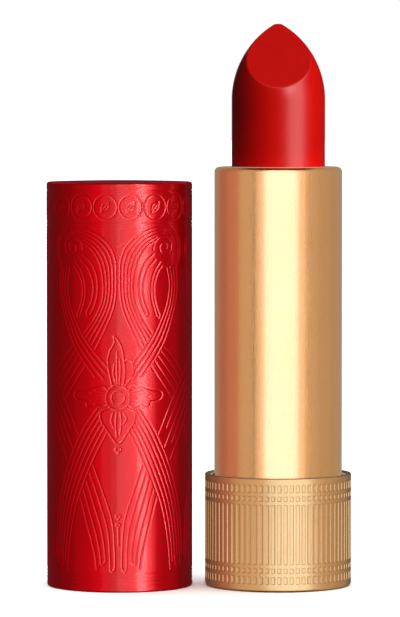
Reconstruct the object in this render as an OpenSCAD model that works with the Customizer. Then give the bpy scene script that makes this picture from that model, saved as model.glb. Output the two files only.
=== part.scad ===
// Turn-up lipstick case, in millimetres.
// The base stands on its foot with the turning axis on Z, and the bullet is fully raised.
// The cap is off: it stands beside the base on its open end, towards -X.
// Radii build outwards from the bullet, and heights build upwards from the foot.

/* [Bullet] */
// Diameter of the bullet
bullet_d = 12.1; // [9:0.1:15]
// Whole length of the bullet, from its foot in the cup to its tip
bullet_l = 32; // [26:0.5:40]
// Length of the tapered end
nose_l = 9.9; // [7:0.1:13]
// Half-width of the blunt tip, where the taper ends
tip_w = 0.4; // [0.2:0.05:0.8]
// How far the tip lies behind the bullet's axis
tip_back = 2.35; // [1:0.05:3]
// Slope of the cut face, from level
cut_angle = 44; // [35:1:55]
// Depth of the tip below the sleeve's mouth when the bullet is lowered
tip_sink = 3.5; // [1:0.5:5]

/* [Carrier cup] */
// Wall of the cup
cup_wall = 0.4; // [0.3:0.05:0.8]
// Depth of the bullet's seat in the cup
cup_depth = 12.5; // [8:0.5:15]
// Thickness of the cup's floor
cup_floor = 1.2; // [0.8:0.1:2]
// Length of the skirt below the cup's floor
skirt_l = 3; // [2.4:0.1:5]
// Free height below the skirt when the bullet is lowered
under_cup = 4.1; // [0.5:0.1:8]
// Gap between the raised cup's rim and the sleeve's lip
cup_stop = 0.6; // [0.3:0.1:4]
// Diameter of the two lift lugs
lug_d = 1.4; // [1:0.1:2]

/* [Slotted barrel] */
// Wall of the barrel
barrel_wall = 0.5; // [0.4:0.05:0.8]
// Width of the flange that holds the cam down
barrel_flange = 0.5; // [0.3:0.05:0.7]
// Thickness of that flange
flange_t = 0.8; // [0.5:0.1:1.5]

/* [Helical cam] */
// Wall of the cam
cam_wall = 0.85; // [0.75:0.05:1.2]
// Depth of the two helical grooves
groove_depth = 0.5; // [0.3:0.05:0.6]
// Rise of a groove in one turn
cam_lead = 16; // [12:0.5:24]
// Section diameter of the brake ring
brake_d = 0.66; // [0.5:0.02:0.8]
// Thickness of the thrust washer
washer_t = 0.5; // [0.3:0.1:1]

/* [Sleeve] */
// Wall of the sleeve
sleeve_wall = 0.4; // [0.35:0.05:0.6]
// Rounding of the sleeve's top edge
sleeve_round = 0.7; // [0.45:0.05:1]
// How much narrower the sleeve is inside the knob
neck_step = 0.2; // [0.05:0.05:0.25]

/* [Knob] */
// Height of the knob
knob_h = 14.6; // [12:0.2:20]
// Wall of the knob's shell
knob_wall = 0.5; // [0.4:0.05:0.8]
// Thickness of the knob's floor
knob_floor = 0.7; // [0.5:0.1:1.2]
// Rounding of the knob's bottom edge
knob_round = 0.45; // [0.2:0.05:0.6]
// Rounding of the knob's rim
rim_round = 0.12; // [0.05:0.01:0.2]
// Number of pockets round the knob
pocket_n = 75; // [40:1:90]
// Share of the pitch that a pocket takes
pocket_share = 0.6; // [0.4:0.05:0.75]
// Depth of the pockets
pocket_depth = 0.13; // [0.05:0.01:0.25]
// Height of the two outer rows of pockets
outer_row_h = 1; // [0.6:0.05:1.4]
// Height of the two inner rows of short pockets
inner_row_h = 0.75; // [0.5:0.05:1.2]
// Plain band between the rows
row_gap = 0.4; // [0.2:0.05:0.6]
// Plain band above the top row
top_band = 0.5; // [0.3:0.05:1]
// Plain band below the bottom row
bottom_band = 1.2; // [0.6:0.05:1.6]

/* [Inside the knob] */
// Wall of the insert
insert_wall = 0.4; // [0.3:0.05:0.8]
// Thickness of the insert's floor
insert_floor = 1.4; // [1:0.1:2]
// How far the insert stops below the rim
insert_drop = 0.25; // [0.1:0.05:0.6]
// Height of the spigot that the barrel is pressed on
spigot_h = 4; // [2.5:0.1:5]
// Wall of the spigot
spigot_wall = 0.8; // [0.6:0.1:1.2]
// Width of the keys that stop the barrel turning
key_w = 2; // [1.2:0.1:3]
// Height of those keys
key_h = 1.6; // [1:0.1:2.5]
// Thickness of the base weight
base_weight_t = 4.5; // [2:0.1:5.5]
// Diameter of the blank shade label
label_d = 14; // [10:0.1:15]
// Thickness of the label, and depth of its recess
label_t = 0.15; // [0.1:0.01:0.3]

/* [Cap] */
// Wall of the cap's shell
cap_wall = 0.5; // [0.4:0.05:0.8]
// Thickness of the shell's closed end
cap_top = 0.6; // [0.5:0.05:1]
// Height of the crown at the middle of the closed end
cap_dome = 0.15; // [0.05:0.01:0.3]
// Rounding of the cap's top edge
cap_round = 0.35; // [0.2:0.05:0.5]
// Rounding of the cap's mouth edge
edge_round = 0.3; // [0.1:0.05:0.35]
// Wall of the liner at its guide band
liner_wall = 0.6; // [0.45:0.05:0.9]
// How much the liner is relieved above its guide band
liner_relief = 0.2; // [0.05:0.01:0.3]
// Height of the guide band that grips the sleeve
band_h = 6; // [3:0.5:10]
// How far the liner starts above the cap's edge
liner_lift = 0.6; // [0.3:0.1:1.5]
// Thickness of the liner's closed end
liner_top = 1; // [0.6:0.1:1.5]
// Free height above the sleeve when the cap is on
cap_headroom = 6.1; // [1:0.1:10]
// Thickness of the cap's weight
cap_weight_t = 4.95; // [2:0.05:6]
// Free space between the closed cap's and the knob's edges, as they stand side by side
cap_spacing = 1.65; // [1:0.05:30]

/* [Rings cut in the cap] */
// Distance of the upper frieze line from the cap's top
frieze_top = 1.4; // [1:0.1:2]
// Height of the frieze between its two lines
frieze_h = 4; // [3:0.1:6]
// Number of fine rings above the cap's edge
ring_n = 4; // [2:1:6]
// Pitch of those rings
ring_pitch = 0.48; // [0.3:0.02:0.7]
// Width of every cut ring
ring_w = 0.2; // [0.1:0.02:0.3]
// Depth of every cut ring
ring_depth = 0.09; // [0.04:0.01:0.15]

/* [Fits] */
// Radial gap between the cup and the barrel
slide_gap = 0.05; // [0.03:0.01:0.1]
// Radial gap between the barrel and the cam
turn_gap = 0.05; // [0.03:0.01:0.1]
// Gap along the axis between turning faces
end_gap = 0.1; // [0.05:0.01:0.2]
// Gap on each side of a lug in its slot
lug_gap = 0.12; // [0.08:0.01:0.2]
// Radial gap between the bullet and the sleeve's mouth
mouth_gap = 0.3; // [0.15:0.05:0.39]
// Radial gap between the sleeve and the insert
rim_gap = 0.3; // [0.2:0.05:0.6]
// Radial gap between the sleeve and the cap's guide band
cap_gap = 0.05; // [0.02:0.01:0.1]
// Gap between a key and its notch
key_gap = 0.05; // [0.03:0.01:0.1]

/* [Hidden] */
$fn = 96;
eps = 0.01;

// Radii, from the bullet outwards
bullet_r = bullet_d / 2;
cup_r = bullet_r + cup_wall;
barrel_in = cup_r + slide_gap;
barrel_out = barrel_in + barrel_wall;
cam_in = barrel_out + turn_gap;
cam_out = cam_in + cam_wall;
sleeve_r = cam_out + sleeve_wall;
mouth_r = bullet_r + mouth_gap;
insert_in = sleeve_r + rim_gap;
insert_r = insert_in + insert_wall;
knob_r = insert_r + knob_wall;
band_r = sleeve_r + cap_gap;
liner_r = band_r + liner_wall;
cap_r = liner_r + cap_wall;
cap_x = -(knob_r + cap_spacing + cap_r);

// Heights, from the foot upwards
weight_z = knob_floor;
insert_z = weight_z + base_weight_t;
barrel_z = insert_z + insert_floor;
washer_z = barrel_z;
cam_z = washer_z + washer_t + end_gap;
spigot_top = barrel_z + spigot_h;
sleeve_top = spigot_top + under_cup + skirt_l + cup_floor + bullet_l + tip_sink;
sleeve_rise = sleeve_top - knob_h;
flange_top = sleeve_top - sleeve_wall - 2 * end_gap;
flange_z = flange_top - flange_t;
cam_top = flange_z - end_gap;
cup_rim = sleeve_top - sleeve_wall - cup_stop;
bullet_z = cup_rim - cup_depth;
tip_z = bullet_z + bullet_l;
skirt_z = bullet_z - cup_floor - skirt_l;
lug_z = bullet_z - cup_floor - skirt_l / 2;
travel = tip_z - sleeve_top + tip_sink;
cap_h = sleeve_rise + cap_headroom + liner_top + cap_weight_t + cap_top + cap_dome;
liner_ceiling = sleeve_rise + cap_headroom;
cap_weight_z = liner_ceiling + liner_top;

// Lift lugs and the grooves they run in
slot_w = lug_d + 2 * lug_gap;
groove_r = cam_in + groove_depth;
lug_reach = sqrt(pow(groove_r - lug_gap, 2) - pow(lug_d / 2, 2));
groove_angle = 360 * slot_w / (cam_lead * cos(atan(cam_lead / (2 * PI * cam_in))));
groove_half_h = cam_lead * groove_angle / 720;
groove_h = travel + 2 * groove_half_h;
groove_z = lug_z - travel - groove_half_h;
degrees_per_slice = 6;

// Brake ring, in a recess of the cam's lower end
brake_r = brake_d / 2;
brake_ring_r = cam_in + brake_r;
brake_seat_r = cam_in + brake_d;

// Rows of pockets, as [height of the lower edge, height of the row]
main_row_h = knob_h - top_band - bottom_band - 2 * (outer_row_h + inner_row_h) - 4 * row_gap;
inner_row_z = bottom_band + outer_row_h + row_gap;
main_row_z = inner_row_z + inner_row_h + row_gap;
upper_row_z = main_row_z + main_row_h + row_gap;
pocket_rows = [
    [bottom_band, outer_row_h],
    [inner_row_z, inner_row_h],
    [main_row_z, main_row_h],
    [upper_row_z, inner_row_h],
    [upper_row_z + inner_row_h + row_gap, outer_row_h]
];
pocket_w = pocket_share * 2 * PI * knob_r / pocket_n;

// Rings of the cap
ring_heights = concat(
    [for (i = [1:ring_n]) i * ring_pitch],
    [cap_h - frieze_top, cap_h - frieze_top - frieze_h]
);

// Points of an arc about c, from angle a to angle b
function arc(c, r, a, b, n = 8) = [for (i = [0:n]) c + r * [cos(a + (b - a) * i / n), sin(a + (b - a) * i / n)]];

// Radius of an arc that leaves a straight side over length l and moves in by d
function taper_r(l, d) = (l * l + d * d) / (2 * d);

// Distance of that arc from the axis, t below the tip, where r is the straight side's
function taper(t, r, end_r) =
    let (a = taper_r(nose_l, r - end_r)) r - a + sqrt(a * a - pow(nose_l - t, 2));

module tube(r_out, r_in, h) {
    difference() {
        cylinder(r = r_out, h = h);
        translate([0, 0, -eps]) cylinder(r = r_in, h = h + 2 * eps);
    }
}

module at_cap() {
    translate([cap_x, 0, 0]) children();
}

// One ring cut into a cylinder's surface
module ring_cut(r, z) {
    rotate_extrude()
        polygon([[r - ring_depth, z], [r + eps, z - ring_w / 2], [r + eps, z + ring_w / 2]]);
}

// Drawn cap shell: open below, with a slightly domed closed end
module cap_shell() {
    flat_r = cap_r - cap_round;
    corner_z = cap_h - cap_dome - cap_round;
    dome_r = (flat_r * flat_r + cap_dome * cap_dome) / (2 * cap_dome);
    dome_angle = asin(flat_r / dome_r);
    outline = concat(
        [[0, cap_h - cap_dome - cap_top], [liner_r, cap_h - cap_dome - cap_top], [liner_r, 0]],
        arc([cap_r - edge_round, edge_round], edge_round, -90, 0, 4),
        arc([flat_r, corner_z], cap_round, 0, 90),
        arc([0, cap_h - dome_r], dome_r, 90 - dome_angle, 90, 6)
    );
    color([0.72, 0.04, 0.08]) at_cap() difference() {
        rotate_extrude() polygon(outline);
        for (z = ring_heights) ring_cut(cap_r, z);
    }
}

// Inner cap: a guide band at the mouth, relieved above it
module cap_liner() {
    band_top = liner_lift + band_h;
    relief_r = band_r + liner_relief;
    color([0.12, 0.12, 0.13]) at_cap() rotate_extrude() polygon([
        [band_r + liner_relief, liner_lift],
        [liner_r, liner_lift],
        [liner_r, cap_weight_z],
        [0, cap_weight_z],
        [0, liner_ceiling],
        [relief_r, liner_ceiling],
        [relief_r, band_top + liner_relief],
        [band_r, band_top],
        [band_r, liner_lift + liner_relief]
    ]);
}

module cap_weight() {
    color("silver") at_cap() translate([0, 0, cap_weight_z]) cylinder(r = liner_r, h = cap_weight_t);
}

// Knob shell: a drawn cup with five rows of pockets round its side
module knob_shell() {
    outline = concat(
        [[0, 0]],
        arc([knob_r - knob_round, knob_round], knob_round, -90, 0),
        arc([knob_r - rim_round, knob_h - rim_round], rim_round, 0, 90, 4),
        [[insert_r, knob_h], [insert_r, knob_floor], [0, knob_floor]]
    );
    color([0.85, 0.66, 0.38]) difference() {
        rotate_extrude() polygon(outline);
        translate([0, 0, -eps]) cylinder(d = label_d, h = label_t + eps);
        for (row = pocket_rows, i = [0:pocket_n - 1])
            rotate(i * 360 / pocket_n)
                translate([knob_r - pocket_depth, -pocket_w / 2, row[0]])
                    cube([1, pocket_w, row[1]]);
    }
}

// Insert: lines the knob, and carries the barrel on a keyed spigot
module knob_insert() {
    spigot_in = barrel_in - spigot_wall;
    color([0.62, 0.62, 0.6]) union() {
        rotate_extrude() polygon([
            [0, insert_z],
            [insert_r, insert_z],
            [insert_r, knob_h - insert_drop],
            [insert_in, knob_h - insert_drop],
            [insert_in, barrel_z],
            [barrel_in, barrel_z],
            [barrel_in, spigot_top],
            [spigot_in, spigot_top],
            [spigot_in, barrel_z],
            [0, barrel_z]
        ]);
        barrel_keys(key_w, key_h, barrel_out);
    }
}

// Two blocks across the barrel's foot, as keys or as the notches for them
module barrel_keys(w, h, r_out) {
    intersection() {
        translate([0, 0, barrel_z - eps]) tube(r_out, barrel_in - eps, h + eps);
        translate([-w / 2, -r_out - 1, barrel_z - 2 * eps]) cube([w, 2 * r_out + 2, h + 3 * eps]);
    }
}

module base_weight() {
    color("silver") translate([0, 0, weight_z]) cylinder(r = insert_r, h = base_weight_t);
}

module shade_label() {
    color("white") cylinder(d = label_d, h = label_t);
}

// Barrel: two straight slots guide the lugs, and a flange keeps the cam on
module slotted_barrel() {
    slot_z = lug_z - travel;
    color([0.93, 0.93, 0.9]) difference() {
        rotate_extrude() polygon([
            [barrel_in, barrel_z],
            [barrel_out, barrel_z],
            [barrel_out, flange_z],
            [barrel_out + barrel_flange, flange_z],
            [barrel_out + barrel_flange, flange_top],
            [barrel_in, flange_top]
        ]);
        for (side = [0, 180]) rotate(side) {
            translate([0, 0, slot_z]) rotate([0, 90, 0]) cylinder(d = slot_w, h = 2 * barrel_out);
            translate([0, -slot_w / 2, slot_z]) cube([2 * barrel_out, slot_w, travel]);
            translate([0, 0, slot_z + travel]) rotate([0, 90, 0]) cylinder(d = slot_w, h = 2 * barrel_out);
        }
        translate([-key_w / 2 - key_gap, -barrel_out - 1, barrel_z - eps])
            cube([key_w + 2 * key_gap, 2 * barrel_out + 2, key_h + key_gap + eps]);
    }
}

module thrust_washer() {
    color([0.8, 0.72, 0.45]) translate([0, 0, washer_z]) tube(sleeve_r - neck_step, cam_in, washer_t);
}

// Sleeve: a plain tube whose top edge is rolled in to the mouth
module sleeve_shell() {
    lip_round = sleeve_wall / 2;
    neck_r = sleeve_r - neck_step;
    outline = concat(
        [[cam_out, cam_z], [neck_r, cam_z], [neck_r, knob_h], [sleeve_r, knob_h]],
        arc([sleeve_r - sleeve_round, sleeve_top - sleeve_round], sleeve_round, 0, 90),
        arc([mouth_r + lip_round, sleeve_top - lip_round], lip_round, 90, 270),
        [[cam_out, sleeve_top - sleeve_wall]]
    );
    color([0.87, 0.68, 0.4]) rotate_extrude() polygon(outline);
}

// One helical groove's section: a sector of the ring that the lug sweeps
module groove_section() {
    polygon(concat(
        arc([0, 0], groove_r, -groove_angle / 2, groove_angle / 2, 6),
        arc([0, 0], cam_in - 0.3, groove_angle / 2, -groove_angle / 2, 6)
    ));
}

// Cam: two blind helical grooves turn the sleeve's rotation into the cup's lift
module helical_cam() {
    turn = 360 * groove_h / cam_lead;
    start = -360 * groove_half_h / cam_lead - 360 * travel / cam_lead;
    color([0.95, 0.95, 0.93]) difference() {
        translate([0, 0, cam_z]) tube(cam_out, cam_in, cam_top - cam_z);
        translate([0, 0, cam_z - eps]) cylinder(r = brake_seat_r, h = brake_d + end_gap + eps);
        translate([0, 0, groove_z]) for (side = [0, 180]) rotate(start + side)
            linear_extrude(height = groove_h, twist = -turn, slices = ceil(turn / degrees_per_slice), $fn = 6)
                groove_section();
    }
}

module brake_ring() {
    color([0.15, 0.15, 0.15]) translate([0, 0, cam_z + brake_r + end_gap / 2])
        rotate_extrude() translate([brake_ring_r, 0]) circle(r = brake_r);
}

// Cup: seats the bullet, with a skirt and two lugs below its floor
module carrier_cup() {
    color([0.9, 0.9, 0.88]) difference() {
        union() {
            translate([0, 0, skirt_z]) cylinder(r = cup_r, h = cup_rim - skirt_z);
            translate([-lug_reach, 0, lug_z]) rotate([0, 90, 0]) cylinder(d = lug_d, h = 2 * lug_reach);
        }
        translate([0, 0, bullet_z]) cylinder(r = bullet_r, h = cup_depth + eps);
        translate([0, 0, skirt_z - eps]) cylinder(r = cup_r - 2 * cup_wall, h = skirt_l + eps);
    }
}

// Point of the nose's outline t below the tip, at angle a and height z.
// The outline is round at the front, and drawn back towards the tip.
function nose_point(t, a, z) =
    let (
        shift_l = 2.2 * tip_back * tan(cut_angle),
        middle = t < shift_l ? tip_back * pow(1 - t / shift_l, 2) : 0,
        half_w = taper(t, bullet_r, tip_w),
        back = taper(t, bullet_r, tip_back + tip_w),
        depth = sin(a) > 0 ? back - middle : half_w + middle
    )
    [half_w * cos(a), middle + depth * sin(a), z];

// Bullet: a straight side, a tapered nose and one slanted cut through its tip
module bullet() {
    rings = 18;
    sides = 64;
    levels = concat([for (i = [0:rings]) nose_l * pow(i / rings, 1.4)], [bullet_l]);
    last = len(levels) - 1;
    points = [for (t = levels, s = [0:sides - 1]) nose_point(min(t, nose_l), s * 360 / sides, tip_z - t)];
    walls = [for (i = [0:last - 1], s = [0:sides - 1])
        let (n = (s + 1) % sides)
        [i * sides + s, i * sides + n, (i + 1) * sides + n, (i + 1) * sides + s]];
    top = [for (s = [sides - 1:-1:0]) s];
    foot = [for (s = [0:sides - 1]) last * sides + s];
    size = 4 * bullet_l;
    color([0.75, 0.06, 0.05]) intersection() {
        polyhedron(points, concat([top, foot], walls));
        translate([0, tip_back, tip_z]) rotate([cut_angle, 0, 0])
            translate([-size / 2, -size / 2, -size]) cube(size);
    }
}

cap_shell();
cap_liner();
cap_weight();
knob_shell();
knob_insert();
base_weight();
shade_label();
slotted_barrel();
thrust_washer();
sleeve_shell();
helical_cam();
brake_ring();
carrier_cup();
bullet();
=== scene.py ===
"""Looks of the turn-up lipstick: engraved red cap, gold sleeve and knob, satin red bullet.

Lengths are in metres. The engraving is drawn in millimetres on the cap's unrolled side.
"""

import math

import bpy
import numpy as np
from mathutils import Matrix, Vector


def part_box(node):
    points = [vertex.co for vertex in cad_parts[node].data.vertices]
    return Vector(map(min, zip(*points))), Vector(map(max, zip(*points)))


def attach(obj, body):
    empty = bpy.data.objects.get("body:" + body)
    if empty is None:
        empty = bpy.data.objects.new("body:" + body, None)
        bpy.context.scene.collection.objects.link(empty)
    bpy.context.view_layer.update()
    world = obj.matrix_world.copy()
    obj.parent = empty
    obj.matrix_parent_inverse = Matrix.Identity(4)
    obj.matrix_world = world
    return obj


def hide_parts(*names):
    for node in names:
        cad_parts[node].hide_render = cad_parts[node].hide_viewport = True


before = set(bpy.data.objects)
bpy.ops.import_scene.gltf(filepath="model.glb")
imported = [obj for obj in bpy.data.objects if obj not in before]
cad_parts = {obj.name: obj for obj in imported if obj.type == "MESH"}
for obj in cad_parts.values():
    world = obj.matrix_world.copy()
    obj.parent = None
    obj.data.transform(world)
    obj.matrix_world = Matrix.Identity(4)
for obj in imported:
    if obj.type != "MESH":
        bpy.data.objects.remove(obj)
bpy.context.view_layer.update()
MM = 0.001


# ---------------------------------------------------------------- sizes, read from the CAD nodes


def node_radius(node):
    """Half the width along X of a round node."""
    low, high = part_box(node)
    return (high.x - low.x) / 2


def node_axis(node):
    """X of a round node's axis."""
    low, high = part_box(node)
    return (high.x + low.x) / 2


CAP_X = node_axis("cap_shell")
CAP_R = node_radius("cap_shell")
CAP_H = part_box("cap_shell")[1].z
CAP_INNER_R = node_radius("cap_weight")
CAP_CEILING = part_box("cap_weight")[1].z
KNOB_R = node_radius("knob_shell")
KNOB_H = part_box("knob_shell")[1].z
KNOB_INNER_R = node_radius("base_weight")
KNOB_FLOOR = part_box("base_weight")[0].z
LABEL_R = node_radius("shade_label")
LABEL_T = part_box("shade_label")[1].z
SLEEVE_R = node_radius("sleeve_shell")
SLEEVE_INNER_R = node_radius("helical_cam")
SLEEVE_Z, SLEEVE_TOP = (corner.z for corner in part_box("sleeve_shell"))
SLEEVE_WALL = SLEEVE_R - SLEEVE_INNER_R
BULLET_R = node_radius("bullet")
BULLET_Z, TIP_Z = (corner.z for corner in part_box("bullet"))


# ---------------------------------------------------------------- meshes


def mesh_object(name, points, quads, triangles=()):
    """A smooth mesh object from arrays of points, quads and triangles."""
    quads = np.asarray(quads, np.int32).reshape(-1, 4)
    triangles = np.asarray(triangles, np.int32).reshape(-1, 3)
    mesh = bpy.data.meshes.new(name)
    mesh.vertices.add(len(points))
    mesh.vertices.foreach_set("co", np.asarray(points, np.float32).ravel())
    corners = np.concatenate([quads.ravel(), triangles.ravel()])
    counts = np.concatenate([np.full(len(quads), 4), np.full(len(triangles), 3)])
    mesh.loops.add(len(corners))
    mesh.loops.foreach_set("vertex_index", corners)
    mesh.polygons.add(len(counts))
    mesh.polygons.foreach_set("loop_start", np.concatenate([[0], np.cumsum(counts)[:-1]]).astype(np.int32))
    mesh.polygons.foreach_set("use_smooth", np.ones(len(counts), bool))
    mesh.update(calc_edges=True)
    mesh.validate()
    piece = bpy.data.objects.new(name, mesh)
    bpy.context.scene.collection.objects.link(piece)
    return piece


def skin(name, points, first, last):
    """A smooth mesh over rows by columns of points, with the columns going round an axis.

    first and last say whether that row is a single point. If neither is, the last row joins the first.
    """
    rows, columns = points.shape[:2]
    here = np.arange(rows * columns).reshape(rows, columns)
    after = np.roll(here, -1, axis=1)
    body = slice(1 if first else 0, rows - 1 if last else rows)
    ring, ring_after = here[body], after[body]
    quads = np.stack([ring[:-1], ring_after[:-1], ring_after[1:], ring[1:]], -1).reshape(-1, 4)
    fans = []
    if first:
        fans.append(np.stack([np.full(columns, here[0, 0]), after[1], here[1]], -1))
    if last:
        fans.append(np.stack([here[-2], after[-2], np.full(columns, here[-1, 0])], -1))
    if not fans:
        quads = np.concatenate([quads, np.stack([here[-1], after[-1], after[0], here[0]], -1)])
    triangles = np.concatenate(fans) if fans else np.zeros((0, 3), int)
    used = np.zeros(rows * columns, bool)
    used[quads.ravel()] = True
    used[triangles.ravel()] = True
    renumber = np.cumsum(used) - 1
    return mesh_object(name, points.reshape(-1, 3)[used], renumber[quads], renumber[triangles])


def even_angles(columns):
    """Angles of evenly spaced columns."""
    return np.arange(columns) / columns * 2 * np.pi


def turned(name, radius, height, centre_x=0.0, angle=None):
    """A turned piece, from radii in rows by columns and one height a row.

    Rows run with the metal on the left, as seen in the (radius, height) plane. Columns go round the axis from the
    camera's side, evenly or at the given angles. A first or last row of radius 0 becomes a single point.
    """
    turn = (even_angles(radius.shape[1]) if angle is None else angle) - np.pi / 2
    heights = np.broadcast_to(height[:, None], radius.shape)
    points = np.stack([centre_x + radius * np.cos(turn), radius * np.sin(turn), heights], -1)
    return skin(name, points, radius[0].max() == 0, radius[-1].max() == 0)


def with_side(before, side_radius, side_z, after):
    """Radii and heights of a side whose radius varies round it, between two plain (radius, height) profiles."""
    rows = [np.repeat(plain[:, :1], side_radius.shape[1], axis=1) for plain in (before, after)]
    return np.concatenate([rows[0], side_radius, rows[1]]), np.concatenate([before[:, 1], side_z, after[:, 1]])


def lathe(name, profile, columns):
    """A plain turned piece from (radius, height) pairs."""
    profile = eased(profile)
    return turned(name, np.repeat(profile[:, :1], columns, axis=1), profile[:, 1])


def arc(centre, radius, start=0.0, end=360.0, steps=40):
    """Points of a circle, or of a part of one. Angles are in degrees."""
    angle = np.radians(np.linspace(start, end, steps + 1))
    return np.stack([centre[0] + radius * np.cos(angle), centre[1] + radius * np.sin(angle)], -1)


def line(start, end, steps):
    """Points of a straight line after its start, up to its end."""
    share = np.arange(1, steps + 1)[:, None] / steps
    return np.asarray(start, float) * (1 - share) + np.asarray(end, float) * share


def eased(profile, bevel=0.02 * MM, sharpest=35):
    """A profile with its sharp corners eased by a tiny bevel, so that its faces shade flat."""
    profile = np.asarray(profile, float)
    points = [profile[0]]
    for before, corner, after in zip(profile[:-2], profile[1:-1], profile[2:]):
        back, on = before - corner, after - corner
        back_l, on_l = np.hypot(*back), np.hypot(*on)
        back, on = back / back_l, on / on_l
        if np.degrees(np.arccos(np.clip(-back @ on, -1, 1))) < sharpest:
            points.append(corner)
            continue
        size = min(bevel, back_l / 4, on_l / 4)
        points += [corner + 2 * size * back, corner + size * back, corner + size * on, corner + 2 * size * on]
    return np.array([*points, profile[-1]])


# ---------------------------------------------------------------- engraving of the cap


def smooth_curve(points, step=0.12, steps=None):
    """A Catmull-Rom curve through the points, with about step between its points, or steps of them a span."""
    p = np.asarray(points, float)
    p = np.concatenate([[2 * p[0] - p[1]], p, [2 * p[-1] - p[-2]]])
    pieces = []
    for a, b, c, d in zip(p[:-3], p[1:-2], p[2:-1], p[3:]):
        count = steps or max(2, int(np.hypot(*(c - b)) / step))
        t = np.arange(count)[:, None] / count
        bend = (2 * a - 5 * b + 4 * c - d) * t**2 + (3 * b - a - 3 * c + d) * t**3
        pieces.append(0.5 * (2 * b + (c - a) * t + bend))
    return np.concatenate([*pieces, p[-2:-1]])


def spiral_path(centre, outer, inner, start, turns, steps=90):
    """Points of a spiral that winds in from outer to inner. Negative turns go clockwise."""
    share = np.linspace(0, 1, steps + 1)
    angle = np.radians(start + 360 * turns * share)
    radius = outer + (inner - outer) * share**0.8
    return np.stack([centre[0] + radius * np.cos(angle), centre[1] + radius * np.sin(angle)], -1)


GROOVE_SPREAD = 0.6  # how far from its middle a groove is 1/e as deep, as a share of its width
FAR_OFF = 99.0  # a distance that no groove reaches


class Engraving:
    """Depth of the engraving, in millimetres, on a grid of the cap's unrolled side.

    s runs round the cap from the camera's side, to the right, and z up from the cap's edge.
    """

    def __init__(self, radius, low, high, columns, rows):
        self.length = 2 * np.pi * radius
        self.ds = self.length / columns
        self.dz = (high - low) / (rows - 1)
        self.low = low
        self.depth = np.zeros((rows, columns))

    def window(self, path, reach):
        """Columns and rows of the grid within reach of a path, with their places."""
        (s0, z0), (s1, z1) = path.min(0) - reach, path.max(0) + reach
        columns = np.arange(math.floor(s0 / self.ds), math.ceil(s1 / self.ds) + 1)
        first = max(0, math.floor((z0 - self.low) / self.dz))
        last = min(len(self.depth) - 1, math.ceil((z1 - self.low) / self.dz))
        rows = np.arange(first, last + 1)
        s, z = np.meshgrid(columns * self.ds, self.low + rows * self.dz)
        return np.ix_(rows, columns % self.depth.shape[1]), s, z

    def near(self, path, reach):
        """Distance from a path at each point of the grid within reach of it."""
        nearest = np.full(self.depth.shape, FAR_OFF)
        chunk = 8  # spans of the path that share one window
        for first in range(0, len(path) - 1, chunk):
            part = path[first : first + chunk + 1]
            cells, s, z = self.window(part, reach)
            if not s.size:
                continue
            best = nearest[cells]
            for (a_s, a_z), (b_s, b_z) in zip(part[:-1], part[1:]):
                run_s, run_z = b_s - a_s, b_z - a_z
                along = ((s - a_s) * run_s + (z - a_z) * run_z) / max(run_s**2 + run_z**2, 1e-12)
                along = np.clip(along, 0, 1)
                off_s, off_z = s - a_s - along * run_s, z - a_z - along * run_z
                best = np.minimum(best, np.hypot(off_s, off_z))
            nearest[cells] = best
        return nearest

    def groove(self, off, width, depth):
        """Cuts a groove, from the distance of every point from its middle."""
        self.depth = np.maximum(self.depth, depth * np.exp(-((off / (GROOVE_SPREAD * width)) ** 2)))

    def cut(self, path, width=0.12, depth=0.075, clear=0.0):
        """Cuts a line along a path. clear first smooths what lies within that distance of it."""
        off = self.near(path, clear + 2.5 * width)
        if clear:
            self.depth[off < clear] = 0
        self.groove(off, width, depth)

    def clear_inside(self, path):
        """Smooths what lies inside a closed path."""
        cells, s, z = self.window(path, 0)
        inside = np.zeros(s.shape, bool)
        for (a_s, a_z), (b_s, b_z) in zip(path, np.roll(path, -1, axis=0)):
            if a_z != b_z:
                crosses = ((a_z > z) != (b_z > z)) & (s < (b_s - a_s) * (z - a_z) / (b_z - a_z) + a_s)
                inside ^= crosses
        part = self.depth[cells]
        part[inside] = 0
        self.depth[cells] = part

    def rim(self, z, width, depth):
        """Cuts a ring all round the cap."""
        heights = self.low + np.arange(len(self.depth)) * self.dz
        self.groove((heights - z)[:, None], width, depth)


CELLS = 3  # the design repeats this often round the cap
MEDALLIONS = 18
FLOWER_Z = 25.0
FRIEZE_Z = 49.35
RIBBON_CLEAR = 0.24  # bare metal on each side of a ribbon's outer lines
TRIMS = (0, 5, 2, 7, 3, 6)  # how many points the ends of a ribbon's lines are shortened by

# Rings all round the cap, each as its height, width and depth.
RIMS = (
    (51.35, 0.16, 0.07), (47.3, 0.16, 0.07), (46.85, 0.12, 0.045),
    (2.28, 0.22, 0.06), (1.82, 0.22, 0.06), (1.37, 0.22, 0.06), (0.81, 0.22, 0.06),
)

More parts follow.
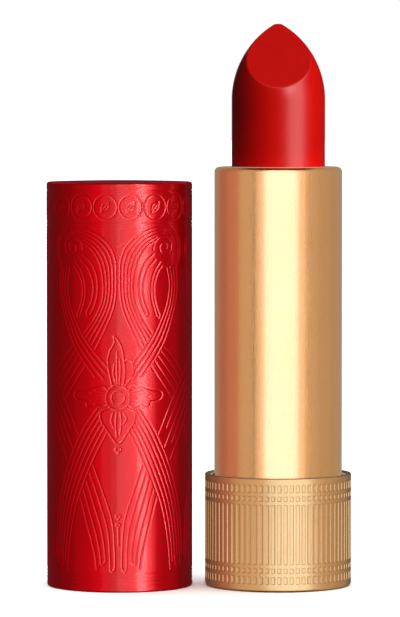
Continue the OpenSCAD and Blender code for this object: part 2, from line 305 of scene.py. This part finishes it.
# The ribbons on the right of a cell's axis, each as its two edges, its number of lines and whether pairs of lines
# join at the ends. Later ribbons pass over earlier ones.
RIBBONS = (
    # fan of lines above the edge, beside the axis
    (
        [(3.9, 17.9), (3.1, 15.9), (1.8, 12.4), (0.8, 9.2), (0.5, 6.0), (0.45, 2.9)],
        [(6.3, 15.4), (5.0, 11.8), (4.2, 9.0), (3.5, 6.6), (3.0, 4.6), (2.8, 2.7)],
        5, True,
    ),
    # arch, then out and down into the next cell
    (
        [
            (6.5, 46.7), (4.9, 46.65), (2.7, 45.8), (1.1, 44.4), (0.35, 42.6), (0.25, 40.8), (0.25, 38.9), (0.45, 37.0),
            (1.1, 35.0), (2.7, 31.7), (4.9, 28.2), (7.4, 24.9), (10.2, 21.0), (12.6, 16.9),
        ],
        [
            (6.1, 45.3), (4.8, 44.9), (3.4, 43.9), (2.5, 42.5), (2.05, 40.9), (1.9, 39.3), (1.95, 37.9), (2.4, 36.4),
            (3.5, 34.5), (5.3, 32.3), (7.6, 30.1), (10.3, 27.2), (12.7, 23.7), (15.6, 17.9),
        ],
        5, False,
    ),
    # short pair under the arch
    (
        [(4.7, 43.3), (3.5, 42.2), (2.8, 40.6), (2.65, 38.8), (3.0, 37.0), (3.8, 35.3)],
        [(5.0, 42.6), (4.0, 41.6), (3.4, 40.2), (3.2, 38.8), (3.5, 37.3), (4.2, 35.8)],
        2, True,
    ),
    (
        [(5.7, 42.3), (4.9, 41.2), (4.4, 39.6), (4.4, 37.8), (4.9, 36.0), (5.3, 35.0)],
        [(6.0, 41.8), (5.3, 40.9), (4.8, 39.5), (4.8, 37.9), (5.2, 36.4), (5.6, 35.5)],
        2, True,
    ),
    # from beside the flower down to the edge
    (
        [(0.6, 22.0), (2.0, 19.5), (3.1, 17.4), (4.5, 14.3), (5.7, 11.3), (6.5, 8.2), (7.0, 5.0), (7.2, 2.7)],
        [(2.7, 23.6), (4.4, 21.3), (5.8, 18.8), (7.0, 16.3), (8.3, 12.9), (9.1, 9.8), (9.5, 6.2), (9.65, 2.7)],
        6, False,
    ),
    # from under the scroll in to the flower
    (
        [(6.7, 41.6), (7.1, 39.8), (7.0, 38.1), (6.4, 36.1), (4.7, 32.9), (3.3, 31.1), (1.9, 29.5), (0.5, 28.0)],
        [(8.3, 41.9), (8.6, 39.8), (8.5, 38.0), (7.9, 36.0), (6.5, 32.6), (5.2, 30.5), (3.6, 28.4), (2.2, 26.7)],
        4, False,
    ),
)


# Outlines of the flower's petals, from its middle: small right one, tall top one, bottom one.
PETALS = (
    [(0.9, 1.5), (2.0, 3.1), (1.8, 4.6), (0.9, 4.7), (0.5, 3.0), (0.9, 1.5)],
    [
        (0.6, 1.4), (0.9, 3.0), (0.75, 4.9), (0.5, 6.3), (0.1, 7.2), (-0.5, 7.9), (-0.5, 7.0), (-1.0, 6.1), (-1.3, 5.0),
        (-1.2, 3.6), (-0.7, 1.4),
    ],
    [
        (0.9, -1.2), (2.2, -1.8), (2.2, -2.9), (1.2, -4.5), (0, -5.9), (-1.2, -4.5), (-2.2, -2.9), (-2.2, -1.8),
        (-0.9, -1.2),
    ],
)
FAN_PETAL = (
    (1.3, 0.8), (1.9, 1.5), (3.1, 1.4), (4.4, 1.0), (5.7, 0.7), (6.0, 0.2), (5.5, -0.3), (4.3, -0.6), (4.1, -1.1),
    (2.9, -1.0), (1.9, -1.2), (1.3, -0.8),
)
PLEATS = 5
# Veins of the tall and of the bottom petal, each as its bow to the right, its two ends' heights, and its ends' bows
# as shares of that bow.
VEINS = (
    (-0.6, 2.0, 4.4, 0.6, 0.8), (-0.15, 1.9, 5.9, 0.6, 0.8), (0.3, 1.9, 4.9, 0.6, 0.8),
    (-0.9, -1.9, -3.9, 0.7, 0.6), (-0.3, -1.9, -5.0, 0.7, 0.6), (0.4, -1.9, -4.6, 0.7, 0.6),
    (1.1, -2.0, -3.4, 0.7, 0.6),
)


def engrave_ribbon(work, near, far, count, loops):
    """One ribbon of lines between two edges. loops joins pairs of lines at their lower ends."""
    work.clear_inside(np.concatenate([near[::4], far[::-4]]))
    lines = [near + (far - near) * share for share in np.linspace(0, 1, count)]
    for k, path in enumerate(lines):
        path = path[: len(path) - TRIMS[k // 2 if loops else k]]
        if loops and k % 2:
            last = lines[k - 1][: len(path)]
            tip = (path[-1] + last[-1]) / 2 + (path[-1] - path[-2]) * 1.2
            path = np.concatenate([path, [tip], last[-2:-1]])
        work.cut(path, clear=RIBBON_CLEAR if k in (0, count - 1) else 0.0)


def engrave_ribbons(work, centres):
    """The crossing ribbons of every cell."""
    for near, far, count, loops in RIBBONS:
        for centre in centres:
            for side in (1, -1):
                edges = [smooth_curve([(centre + side * s, z) for s, z in edge], steps=12) for edge in (near, far)]
                engrave_ribbon(work, *edges, count, loops)


def engrave_scrolls(work, centre):
    """The two scrolls that end the arches of a cell."""
    for side in (1, -1):
        middle = (centre + side * 6.4, 44.2)
        work.clear_inside(arc(middle, 1.75))
        work.cut(spiral_path(middle, 1.75, 0.25, 90 + side * 100, -side * 1.75), clear=0.2)
        for out in (0.0, 0.42):
            sweep = [
                (6.5, 46.7), (7.9, 46.3 - out), (9.0 - out, 45.1), (9.25 - out, 43.4), (8.6 - out, 41.9),
                (7.6 - out, 41.0),
            ]
            work.cut(smooth_curve([(centre + side * s, z) for s, z in sweep]))


def petal(work, place, outline):
    """One petal: smooths the ribbons behind it, and cuts its outline."""
    path = smooth_curve(outline, 0.1) + place
    work.clear_inside(path)
    work.cut(path, width=0.14, depth=0.085)


def engrave_flower(work, centre):
    """A blossom over the crossing ribbons: petals above and below, two pleated ones and a round heart."""
    place = np.array([centre, FLOWER_Z])
    for outline in PETALS:
        petal(work, place, outline)
    for side in (1, -1):
        petal(work, place, [(side * s, z) for s, z in FAN_PETAL])
        for k in range(PLEATS):
            tilt = math.radians(-20 + 11 * k)
            inner, outer = 1.7, 4.1 - 0.4 * abs(k - PLEATS // 2)
            pleat = [
                (side * r * math.cos(tilt), r * math.sin(tilt) * (inner / r) ** 0.5)
                for r in (inner, (inner + outer) / 2, outer)
            ]
            work.cut(smooth_curve(pleat) + place, width=0.13, depth=0.06)
    for bow, start, end, start_share, end_share in VEINS:
        vein = [(bow * start_share, start), (bow, (start + end) / 2), (bow * end_share, end)]
        work.cut(smooth_curve(vein) + place, width=0.13)
    heart = arc(place, 1.56)
    work.clear_inside(heart)
    work.cut(heart, width=0.15, depth=0.085)
    for start in (-70, 60, 150):
        work.cut(arc(place, 0.85, start, start + 75, 10), width=0.13)


def engrave_drops(work, centre):
    """Small finials on a cell's axis, under the flower and above the edge."""
    for z, size in ((18.4, 0.34), (9.8, 0.28), (8.7, 0.24)):
        for side in (1, -1):
            curl = [(0, 0.9), (side * 0.9, 0.5), (side * 1.1, -0.3), (side * 0.4, -0.7), (0, -1.6)]
            work.cut(smooth_curve([(centre + size * s, z + size * up) for s, up in curl], 0.08))
    work.cut(smooth_curve([(centre, 8.2), (centre, 6.1)]), width=0.13)


def engrave_medallion(work, centre):
    """A ring with a leaf in it."""
    place = np.array([centre, FRIEZE_Z])
    work.cut(arc(place, 1.52))
    tilt, half_leaf = math.radians(52), 0.85
    along = half_leaf * np.array([math.cos(tilt), math.sin(tilt)])
    across = np.array([-math.sin(tilt), math.cos(tilt)])
    for bow in (-0.42, 0.0, 0.42):
        work.cut(smooth_curve([place - along, place + bow * across, place + along], 0.1), depth=0.065)


def engraved_cap():
    """The cap's shell, with its whole outer side as a fine grid that the engraving is cut into."""
    edge, top_round, dome = 0.3 * MM, 0.35 * MM, 0.15 * MM
    columns, rows = 800, 690
    low, high = edge, CAP_H - dome - top_round
    work = Engraving(CAP_R / MM, low / MM, high / MM, columns, rows)
    centres = [k * work.length / CELLS for k in range(CELLS)]
    engrave_ribbons(work, centres)
    for centre in centres:
        engrave_scrolls(work, centre)
        engrave_drops(work, centre)
        engrave_flower(work, centre)
    for k in range(MEDALLIONS):
        engrave_medallion(work, (k + 0.5) * work.length / MEDALLIONS)
    for rim in RIMS:
        work.rim(*rim)

    flat_r = CAP_R - top_round
    dome_r = (flat_r**2 + dome**2) / (2 * dome)
    dome_angle = math.degrees(math.asin(flat_r / dome_r))
    inside = np.concatenate([[(0, CAP_CEILING)], line((0, CAP_CEILING), (CAP_INNER_R, CAP_CEILING), 3)])
    inside = np.concatenate([inside, line((CAP_INNER_R, CAP_CEILING), (CAP_INNER_R, 0), 6)])
    mouth = arc((CAP_R - edge, edge), edge, -90, 0, 8)[:-1]
    corner = arc((flat_r, high), top_round, 0, 90, 10)[1:]
    crown = arc((0, CAP_H - dome_r), dome_r, 90 - dome_angle, 90, 12)[1:]
    crown[-1, 0] = 0
    before, after = np.concatenate([inside, mouth]), np.concatenate([corner, crown])
    radius, height = with_side(before, CAP_R - work.depth * MM, np.linspace(low, high, rows), after)
    return turned("cap_engraved", radius, height, CAP_X)


# ---------------------------------------------------------------- knob


def pocketed_knob():
    """The knob's shell, with five rows of small pockets that have bevelled edges."""
    pockets, share, depth = 75, 0.6, 0.06 * MM  # share is the part of the pitch that a pocket takes
    bevel, rim_bevel = 0.05 * MM, 0.05 * MM
    bottom_round, rim_round = 0.45 * MM, 0.12 * MM
    bottom_band, top_band, row_gap, outer_row, inner_row = (v * MM for v in (1.05, 0.85, 0.47, 0.95, 0.62))
    main_row = KNOB_H - top_band - bottom_band - 2 * (outer_row + inner_row) - 4 * row_gap
    row_edges, z = [], bottom_band
    for row in (outer_row, inner_row, main_row, inner_row, outer_row):
        row_edges.append((z, z + row))
        z += row + row_gap

    pitch = 2 * math.pi * KNOB_R / pockets
    half = share * pitch / 2
    slope = np.linspace(0, 1, 9)  # steps of a bevelled edge
    floor = np.linspace(-half + bevel, half - bevel, 5)[1:-1]
    rib = np.linspace(half, pitch - half, 5)[1:-1]
    across = np.concatenate([-half + bevel * slope, floor, half - bevel + bevel * slope, rib])
    depth_across = np.concatenate(
        [smooth_step(slope), np.ones(len(floor)), smooth_step(1 - slope), np.zeros(len(rib))]
    )
    angle = np.concatenate([(k * pitch + across) / KNOB_R for k in range(pockets)])
    depth_round = np.tile(depth_across, pockets)

    side = [bottom_round]
    depth_up = [0.0]
    for low, high in row_edges:
        for edge, rising in ((low, True), (high - bevel, False)):
            side.extend(edge + bevel * slope)
            depth_up.extend(smooth_step(slope if rising else 1 - slope))
    side.append(KNOB_H - rim_round)
    depth_up.append(0.0)

    label_seat = [(0, LABEL_T), (LABEL_R, LABEL_T), (LABEL_R, 0)]
    below = np.concatenate([label_seat, line((LABEL_R, 0), (KNOB_R - bottom_round, 0), 3)[:-1]])
    below = np.concatenate([below, arc((KNOB_R - bottom_round, bottom_round), bottom_round, -90, 0, 10)[:-1]])
    above = arc((KNOB_R - rim_round, KNOB_H - rim_round), rim_round, 0, 90, 6)[1:]
    inside = [
        (KNOB_INNER_R + rim_bevel, KNOB_H),
        (KNOB_INNER_R, KNOB_H - rim_bevel),
        (KNOB_INNER_R, KNOB_FLOOR),
        (0, KNOB_FLOOR),
    ]
    above = np.concatenate([above, inside])
    radius, height = with_side(below, KNOB_R - depth * np.outer(depth_up, depth_round), side, above)
    return turned("knob_pocketed", radius, height, angle=angle)


def smooth_step(share):
    """0 to 1 with level ends."""
    share = np.clip(share, 0, 1)
    return share * share * (3 - 2 * share)


# ---------------------------------------------------------------- sleeve and bullet


def rolled_sleeve():
    """The sleeve: a plain tube with its top edge rolled in to the mouth."""
    top_round, neck = 0.7 * MM, 0.1 * MM
    mouth_r = BULLET_R + 0.3 * MM
    lip = SLEEVE_WALL / 2
    flat_z = SLEEVE_TOP - top_round
    profile = np.concatenate(
        [
            [(SLEEVE_INNER_R, SLEEVE_Z), (SLEEVE_R - neck, SLEEVE_Z), (SLEEVE_R - neck, KNOB_H), (SLEEVE_R, KNOB_H)],
            line((SLEEVE_R, KNOB_H), (SLEEVE_R, flat_z), 60)[:-1],
            arc((SLEEVE_R - top_round, flat_z), top_round, 0, 90, 14),
            arc((mouth_r + lip, SLEEVE_TOP - lip), lip, 90, 270, 14),
            [(SLEEVE_INNER_R - 0.2 * MM, SLEEVE_TOP - SLEEVE_WALL), (SLEEVE_INNER_R, SLEEVE_TOP - 1.5 * SLEEVE_WALL)],
        ]
    )
    return lathe("sleeve_rolled", profile, 320)


def smooth_max(values, blend):
    """The largest of several fields, with rounded joins."""
    values = np.stack(values)
    top = values.max(0)
    return top + blend * np.log(np.exp((values - top) / blend).sum(0))


NOSE_L = 9.9 * MM  # height of the tapered part
TIP_W = 0.4 * MM  # half the width of the blunt tip
TIP_BACK = 2.35 * MM  # distance of the tip behind the axis
CUT_ANGLE = math.radians(45)


def taper(depth, end_r):
    """Distance from the axis of an arc that leaves the bullet's straight side and ends at end_r."""
    move = BULLET_R - end_r
    radius = (NOSE_L**2 + move**2) / (2 * move)
    up = np.clip(NOSE_L - depth, 0, NOSE_L * 1.05)
    return BULLET_R - radius + np.sqrt(radius**2 - up**2)


def bullet_field(x, y, z):
    """Below zero inside the bullet: tapered nose, slanted cut and blunt tip."""
    depth = TIP_Z - z
    shift_l = 2.2 * TIP_BACK * math.tan(CUT_ANGLE)
    middle = TIP_BACK * np.clip(1 - depth / shift_l, 0, 1) ** 2
    half_w = taper(depth, TIP_W)
    back = taper(depth, TIP_BACK + TIP_W) - middle
    reach_y = np.where(y > middle, back, half_w + middle)
    side = (np.hypot(x / half_w, (y - middle) / reach_y) - 1) * half_w
    cut = (z - TIP_Z - (y - TIP_BACK) * math.tan(CUT_ANGLE)) * math.cos(CUT_ANGLE)
    edge_blend = 0.045 * MM
    return smooth_max([side, cut, z - TIP_Z], edge_blend)


def moulded_bullet():
    """The bullet: straight below, and above found along rays from a point in its middle."""
    columns, rays, wall_rows, halvings = 288, 260, 40, 34
    foot_bevel, ray_limit = 0.2 * MM, 14 * MM
    angle = even_angles(columns) - np.pi / 2
    core_z = TIP_Z - NOSE_L - 1.5 * MM
    rise = np.linspace(0, 1, rays)[:, None] * math.pi / 2
    lean = 0.12  # the rays' pole leans back towards the tip
    direction = np.stack(
        [
            np.cos(rise) * np.cos(angle),
            np.cos(rise) * np.sin(angle) + lean * np.sin(rise),
            np.broadcast_to(np.sin(rise), (rays, columns)),
        ]
    )
    direction /= np.linalg.norm(direction, axis=0)
    near, far = np.zeros((rays, columns)), np.full((rays, columns), ray_limit)
    for _ in range(halvings):
        middle = (near + far) / 2
        x, y, z = direction * middle
        inside = bullet_field(x, y, z + core_z) < 0
        near, far = np.where(inside, middle, near), np.where(inside, far, middle)
    x, y, z = direction * near
    dome = np.stack([x, y, z + core_z], -1)
    dome[-1] = dome[-1].mean(0)
    ring = np.stack([np.cos(angle), np.sin(angle)], -1) * BULLET_R
    levels = np.concatenate([[BULLET_Z], np.linspace(BULLET_Z + foot_bevel, core_z, wall_rows)[:-1]])
    wall = np.stack([np.concatenate([ring, np.full((columns, 1), level)], 1) for level in levels])
    wall[0, :, :2] *= 1 - foot_bevel / BULLET_R
    foot = np.zeros((1, columns, 3))
    foot[..., 2] = BULLET_Z
    return skin("bullet_moulded", np.concatenate([foot, wall, dome]), True, True)


# ---------------------------------------------------------------- materials


def new_material(name):
    """An empty node material, its nodes and its Principled shader."""
    material = bpy.data.materials.new(name)
    material.use_nodes = True
    nodes = material.node_tree.nodes
    return material, nodes, material.node_tree.links, nodes["Principled BSDF"]


def add(nodes, kind, **values):
    """A node with some of its inputs or properties set."""
    node = nodes.new(kind)
    for key, value in values.items():
        if key in node.inputs:
            node.inputs[key].default_value = value
        else:
            setattr(node, key, value)
    return node


def noise(nodes, links, scale, stretch=(1, 1, 1), detail=3.0):
    """A noise pattern in the object's own coordinates. scale is in features per metre."""
    place = add(nodes, "ShaderNodeTexCoord")
    shape = add(nodes, "ShaderNodeMapping")
    shape.inputs["Scale"].default_value = stretch
    links.new(place.outputs["Object"], shape.inputs["Vector"])
    pattern = add(nodes, "ShaderNodeTexNoise", Scale=scale, Detail=detail)
    links.new(shape.outputs["Vector"], pattern.inputs["Vector"])
    return pattern.outputs["Fac"]


def ramp(nodes, links, source, low, high, start=0.3, end=0.7):
    """A colour or grey ramp over a pattern."""
    node = add(nodes, "ShaderNodeValToRGB")
    for element, place, value in zip(node.color_ramp.elements, (start, end), (low, high)):
        element.position = place
        element.color = (value, value, value, 1) if isinstance(value, float) else (*value, 1)
    links.new(source, node.inputs["Fac"])
    return node.outputs["Color"]


def bump(nodes, links, source, shader, distance):
    """Bump of a pattern, with its depth in metres."""
    node = add(nodes, "ShaderNodeBump", Distance=distance)
    links.new(source, node.inputs["Height"])
    links.new(node.outputs["Normal"], shader.inputs["Normal"])


def gold(name, roughness, grain_depth):
    """Gold anodised aluminium with fine vertical grain."""
    material, nodes, links, shader = new_material(name)
    grain = noise(nodes, links, 30000, stretch=(1, 1, 0.01), detail=2.0)
    cloud = noise(nodes, links, 90)
    links.new(ramp(nodes, links, cloud, (0.88, 0.435, 0.162), (0.92, 0.455, 0.175)), shader.inputs["Base Color"])
    links.new(ramp(nodes, links, grain, *roughness, 0.4, 0.6), shader.inputs["Roughness"])
    bump(nodes, links, grain, shader, grain_depth)
    shader.inputs["Metallic"].default_value = 1.0
    return material


def red_anodised():
    """Deep red anodised aluminium under a clear polished layer."""
    material, nodes, links, shader = new_material("red_anodised")
    cloud = noise(nodes, links, 160)
    fine = noise(nodes, links, 5000)
    links.new(ramp(nodes, links, cloud, (0.55, 0.003, 0.008), (0.59, 0.004, 0.010)), shader.inputs["Base Color"])
    links.new(ramp(nodes, links, fine, 0.29, 0.35), shader.inputs["Roughness"])
    bump(nodes, links, fine, shader, 0.4e-6)
    shader.inputs["Metallic"].default_value = 0.8
    shader.inputs["Specular IOR Level"].default_value = 0.0
    shader.inputs["Coat Weight"].default_value = 1.0
    shader.inputs["Coat Roughness"].default_value = 0.12
    return material


def pomade():
    """Satin red wax."""
    material, nodes, links, shader = new_material("pomade")
    cloud = noise(nodes, links, 300)
    fine = noise(nodes, links, 7000)
    links.new(ramp(nodes, links, cloud, (0.79, 0.003, 0.001), (0.84, 0.004, 0.0015)), shader.inputs["Base Color"])
    links.new(ramp(nodes, links, fine, 0.27, 0.33), shader.inputs["Roughness"])
    bump(nodes, links, fine, shader, 1.5e-6)
    shader.inputs["Subsurface Weight"].default_value = 0.15
    shader.inputs["Subsurface Radius"].default_value = (1.0, 0.15, 0.1)
    shader.inputs["Subsurface Scale"].default_value = 0.5 * MM
    shader.inputs["Specular IOR Level"].default_value = 0.6
    return material


def moulded(name, low, high, roughness=0.45):
    """Moulded plastic or rubber, with a fine matt texture."""
    material, nodes, links, shader = new_material(name)
    fine = noise(nodes, links, 3500)
    cloud = noise(nodes, links, 200)
    links.new(ramp(nodes, links, cloud, low, high), shader.inputs["Base Color"])
    links.new(ramp(nodes, links, fine, roughness - 0.05, roughness + 0.08), shader.inputs["Roughness"])
    bump(nodes, links, fine, shader, 2e-6)
    return material


def turned_steel():
    """Steel with rings from turning."""
    material, nodes, links, shader = new_material("turned_steel")
    grain = noise(nodes, links, 2500, stretch=(0.05, 0.05, 1))
    links.new(ramp(nodes, links, grain, (0.50, 0.50, 0.49), (0.62, 0.61, 0.60)), shader.inputs["Base Color"])
    links.new(ramp(nodes, links, grain, 0.28, 0.4), shader.inputs["Roughness"])
    bump(nodes, links, grain, shader, 1e-6)
    shader.inputs["Metallic"].default_value = 1.0
    return material


def dress(piece, material):
    """Gives a piece one material."""
    piece.data.materials.clear()
    piece.data.materials.append(material)


# ---------------------------------------------------------------- the object


def place_piece(piece, body, node, material):
    """Puts a made piece on its body in place of a CAD node."""
    dress(piece, material)
    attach(piece, body)
    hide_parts(node)
    return piece


satin_gold = gold("gold_knob", (0.26, 0.42), 0.2e-6)
brushed_gold = gold("gold_sleeve", (0.18, 0.32), 0.2e-6)
cap = place_piece(engraved_cap(), "cap", "cap_shell", red_anodised())
knob = place_piece(pocketed_knob(), "base", "knob_shell", satin_gold)
sleeve = place_piece(rolled_sleeve(), "sleeve", "sleeve_shell", brushed_gold)
bullet = place_piece(moulded_bullet(), "carrier", "bullet", pomade())

white_plastic = moulded("white_plastic", (0.72, 0.72, 0.69), (0.8, 0.8, 0.77))
steel = turned_steel()
NODE_MATERIALS = {
    "cap_liner": moulded("dark_plastic", (0.02, 0.02, 0.022), (0.035, 0.035, 0.04)),
    "cap_weight": steel,
    "knob_insert": moulded("grey_plastic", (0.36, 0.36, 0.35), (0.44, 0.44, 0.43), 0.3),
    "base_weight": steel,
    "shade_label": moulded("label_stock", (0.75, 0.74, 0.72), (0.8, 0.79, 0.77), 0.6),
    "slotted_barrel": white_plastic,
    "thrust_washer": steel,
    "helical_cam": white_plastic,
    "brake_ring": moulded("rubber", (0.02, 0.02, 0.02), (0.04, 0.04, 0.04), 0.6),
    "carrier_cup": white_plastic,
}
for node, material in NODE_MATERIALS.items():
    dress(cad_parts[node], material)


# ---------------------------------------------------------------- camera, floor and lights

WHITE, RED, ROSE = (1.0, 1.0, 1.0), (1.0, 0.02, 0.08), (1.0, 0.55, 0.62)
COOL, PALE = (0.37, 0.5, 1.0), (0.31, 0.56, 0.9)
LIGHT_DISTANCE = 0.6
LIGHTS_FACE = Vector((CAP_X / 2, 0, CAP_H * 0.6))  # the point that every softbox faces
PANEL_WIDTH = 30  # of each softbox of a ring, in degrees

LENS, SENSOR = 244.0, 36.0  # millimetres
CAMERA_DISTANCE, CAMERA_PITCH = 0.5421, math.radians(2.85)
CAMERA_SHIFT = 0.15 * MM  # to the right of the middle between the two axes
FOOT_DROP = 0.44716  # from the picture's centre down to the foot, as a share of the picture's height
FOOT_BELOW_CENTRE = FOOT_DROP * SENSOR / LENS  # tangent of the angle from the picture's centre to the foot


def add_camera():
    """The camera, looking a little down at both pieces."""
    rise = (math.sin(CAMERA_PITCH) + FOOT_BELOW_CENTRE * math.cos(CAMERA_PITCH)) / (
        math.cos(CAMERA_PITCH) - FOOT_BELOW_CENTRE * math.sin(CAMERA_PITCH)
    )
    data = bpy.data.cameras.new("camera")
    data.lens, data.sensor_width = LENS, SENSOR
    data.clip_start, data.clip_end = 0.05, 50
    camera = bpy.data.objects.new("camera", data)
    camera.location = (CAP_X / 2 + CAMERA_SHIFT, -CAMERA_DISTANCE, CAMERA_DISTANCE * rise)
    camera.rotation_euler = (math.pi / 2 - CAMERA_PITCH, 0, 0)
    bpy.context.scene.collection.objects.link(camera)
    bpy.context.scene.camera = camera


def add_floor():
    """A plain white floor that metal doesn't mirror."""
    size = 6.0
    corners = [(-size, -size, 0), (size, -size, 0), (size, size, 0), (-size, size, 0)]
    floor = mesh_object("floor", corners, [(0, 1, 2, 3)])
    material, nodes, links, shader = new_material("floor")
    cloud = noise(nodes, links, 3)
    links.new(ramp(nodes, links, cloud, 0.90, 0.92), shader.inputs["Base Color"])
    shader.inputs["Roughness"].default_value = 1.0
    shader.inputs["Specular IOR Level"].default_value = 0.0
    dress(floor, material)
    floor.visible_glossy = floor.visible_diffuse = floor.visible_shadow = False
    return floor


def piece_group(name, pieces):
    """A collection of pieces, for light linking."""
    group = bpy.data.collections.new(name)
    for piece in pieces:
        group.objects.link(piece)
    return group


def softbox(name, azimuth, width, radiance, lit, colour=WHITE, elevation=0, height=110, alone=True):
    """A flat soft light that faces the object. Its place and its width and height as seen from there are in degrees.

    Azimuth 0 is the camera's side and 90 is the right. lit lists the pieces that it lights, and alone says
    whether only those cast its shadow.
    """
    data = bpy.data.lights.new(name, "AREA")
    data.shape = "RECTANGLE"
    data.size = 2 * LIGHT_DISTANCE * math.tan(math.radians(width / 2))
    data.size_y = 2 * LIGHT_DISTANCE * math.tan(math.radians(height / 2))
    data.energy = math.pi * data.size * data.size_y * radiance
    data.color = colour
    light = bpy.data.objects.new(name, data)
    turn, rise = math.radians(azimuth), math.radians(elevation)
    away = Vector((math.cos(rise) * math.sin(turn), -math.cos(rise) * math.cos(turn), math.sin(rise)))
    light.location = LIGHTS_FACE + away * LIGHT_DISTANCE
    light.rotation_euler = (-away).to_track_quat("-Z", "Y").to_euler()
    light.visible_camera = False
    bpy.context.scene.collection.objects.link(light)
    light.light_linking.receiver_collection = piece_group(name, lit)
    if alone:
        light.light_linking.blocker_collection = light.light_linking.receiver_collection


def surround(name, lit, colour, radiances, elevation=0):
    """A ring of softboxes side by side, from their azimuths and radiances."""
    for azimuth, radiance in radiances.items():
        softbox(f"{name}_{azimuth}", azimuth, PANEL_WIDTH, radiance, lit, colour, elevation)


def sky_light(lit):
    """An even light from above."""
    data = bpy.data.lights.new("sky", "SUN")
    data.energy, data.angle = 5.2, math.radians(120)
    sky = bpy.data.objects.new("sky", data)
    bpy.context.scene.collection.objects.link(sky)
    sky.light_linking.receiver_collection = piece_group("sky", lit)


def add_world():
    """White to the camera, and a dim grey room to everything else."""
    world = bpy.data.worlds.new("studio")
    bpy.context.scene.world = world
    world.use_nodes = True
    nodes, links = world.node_tree.nodes, world.node_tree.links
    nodes.clear()
    seen = add(nodes, "ShaderNodeBackground", Color=(1, 1, 1, 1), Strength=1.0)
    room = add(nodes, "ShaderNodeBackground", Color=(1, 1, 1, 1), Strength=0.02)
    path = add(nodes, "ShaderNodeLightPath")
    mix = add(nodes, "ShaderNodeMixShader")
    out = add(nodes, "ShaderNodeOutputWorld")
    links.new(path.outputs["Is Camera Ray"], mix.inputs[0])
    links.new(room.outputs[0], mix.inputs[1])
    links.new(seen.outputs[0], mix.inputs[2])
    links.new(mix.outputs[0], out.inputs["Surface"])


add_camera()
add_world()
floor = add_floor()

# Each piece has lights of its own, since the photo's pieces don't share theirs. Pieces don't mirror each other.
inside = [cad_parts[node] for node in NODE_MATERIALS]
for piece in (cap, knob, sleeve, *inside):
    piece.visible_glossy = False
sky_light([floor])
surround(
    "cap_side", [cap], RED,
    {-150: 0.11, -120: 0.12, -90: 0.23, -60: 0.56, -30: 1.0, 0: 0.3, 60: 0.44, 90: 0.36, 120: 0.01, 180: 0.08},
)
softbox("cap_key", 15, 86, 0.24, [cap])
softbox("cap_key_right", 22, 72, 0.26, [cap])
softbox("cap_key_middle", 24, 56, 0.7, [cap])
softbox("cap_core", 36, 16, 3.1, [cap])
softbox("cap_above", 180, 90, 0.45, [cap], RED, elevation=50, height=50)
surround(
    "sleeve_side", [sleeve], WHITE,
    {-61: 0.64, 60: 0.62, 90: 0.54, 120: 0.48, 150: 0.42, 180: 0.4, -150: 0.35},
)
surround("sleeve_left", [sleeve], ROSE, {-91: 0.56, -121: 0.42})
softbox("sleeve_front", 3, 90, 0.95, [sleeve])
softbox("sleeve_key", 5, 62, 2.7, [sleeve], COOL)
surround(
    "knob_side", [knob], WHITE,
    {-61: 0.62, -31: 0.68, 0: 0.5, 30: 0.6, 60: 0.6, 90: 0.48, 120: 0.36, 150: 0.12, 180: 0.1, -150: 0.06},
)
surround("knob_left", [knob], ROSE, {-91: 0.4, -121: 0.2})
softbox("knob_key", 18, 70, 1.9, [knob], PALE)
surround("bullet_side", [bullet], WHITE, {60: 0.5, 180: 0.5}, elevation=10)
softbox("bullet_key", 44, 38, 1.95, [bullet], elevation=10)
softbox("bullet_high", 27, 24, 4.0, [bullet], elevation=20, height=16)
softbox("bullet_front", 0, 60, 0.38, [bullet], elevation=52, height=36)
softbox("inside_key", 20, 80, 1.0, inside, elevation=20, alone=False)
softbox("inside_back", 200, 80, 0.6, inside, elevation=20, alone=False)

bpy.context.scene.view_settings.view_transform = "Standard"
